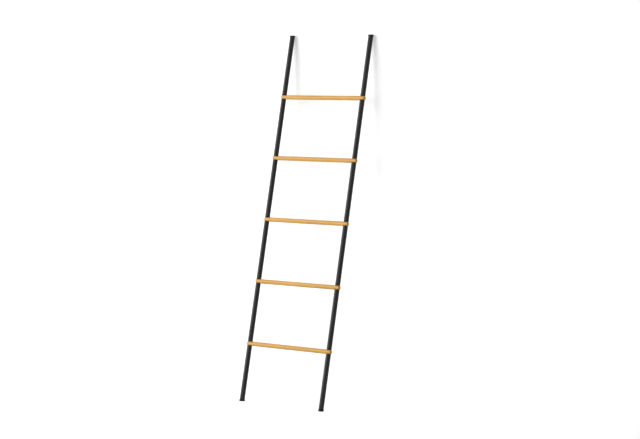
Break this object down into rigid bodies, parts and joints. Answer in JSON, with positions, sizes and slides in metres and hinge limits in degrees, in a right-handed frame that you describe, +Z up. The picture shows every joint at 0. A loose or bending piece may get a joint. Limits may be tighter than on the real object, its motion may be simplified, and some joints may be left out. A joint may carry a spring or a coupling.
{
  "type": "blanket ladder",
  "caption": "Leaning blanket ladder: two rails of stacked round black tubes clamp the flattened ends of round wooden rungs, with flanged feet and caps.",
  "frame": {"origin": "midway between the two rails, level with the flat soles of the feet", "axes": "+X along the rungs, to the right as seen from the room; +Y towards the wall; +Z up the rails. The ladder stands upright here, on its soles. In use it leans about 10 degrees from the vertical, its top towards +Y"},
  "size_m": [0.443, 0.0256, 1.6669],
  "materials": {
    "rail_powder_coat": "satin black powder coat on steel tube",
    "rung_wood": "honey-stained, satin varnish",
    "foot_rubber": "moulded, matte",
    "cap_plastic": "moulded, fine grain",
    "zinc_steel": "bright zinc plate"
  },
  "bodies": {
    "root": {"foot_left": "foot_rubber", "foot_right": "foot_rubber", "nut_left_1_above": "zinc_steel", "nut_left_1_below": "zinc_steel", "nut_left_2_above": "zinc_steel", "nut_left_2_below": "zinc_steel", "nut_left_3_above": "zinc_steel", "nut_left_3_below": "zinc_steel", "nut_left_4_above": "zinc_steel", "nut_left_4_below": "zinc_steel", "nut_left_5_above": "zinc_steel", "nut_left_5_below": "zinc_steel", "nut_right_1_above": "zinc_steel", "nut_right_1_below": "zinc_steel", "nut_right_2_above": "zinc_steel", "nut_right_2_below": "zinc_steel", "nut_right_3_above": "zinc_steel", "nut_right_3_below": "zinc_steel", "nut_right_4_above": "zinc_steel", "nut_right_4_below": "zinc_steel", "nut_right_5_above": "zinc_steel", "nut_right_5_below": "zinc_steel", "rung_1": "rung_wood", "rung_2": "rung_wood", "rung_3": "rung_wood", "rung_4": "rung_wood", "rung_5": "rung_wood", "stud_left_1": "zinc_steel", "stud_left_2": "zinc_steel", "stud_left_3": "zinc_steel", "stud_left_4": "zinc_steel", "stud_left_5": "zinc_steel", "stud_right_1": "zinc_steel", "stud_right_2": "zinc_steel", "stud_right_3": "zinc_steel", "stud_right_4": "zinc_steel", "stud_right_5": "zinc_steel", "top_cap_left": "cap_plastic", "top_cap_right": "cap_plastic", "tube_left_1": "rail_powder_coat", "tube_left_2": "rail_powder_coat", "tube_left_3": "rail_powder_coat", "tube_left_4": "rail_powder_coat", "tube_left_5": "rail_powder_coat", "tube_left_6": "rail_powder_coat", "tube_right_1": "rail_powder_coat", "tube_right_2": "rail_powder_coat", "tube_right_3": "rail_powder_coat", "tube_right_4": "rail_powder_coat", "tube_right_5": "rail_powder_coat", "tube_right_6": "rail_powder_coat"}
  },
  "joints": []
}
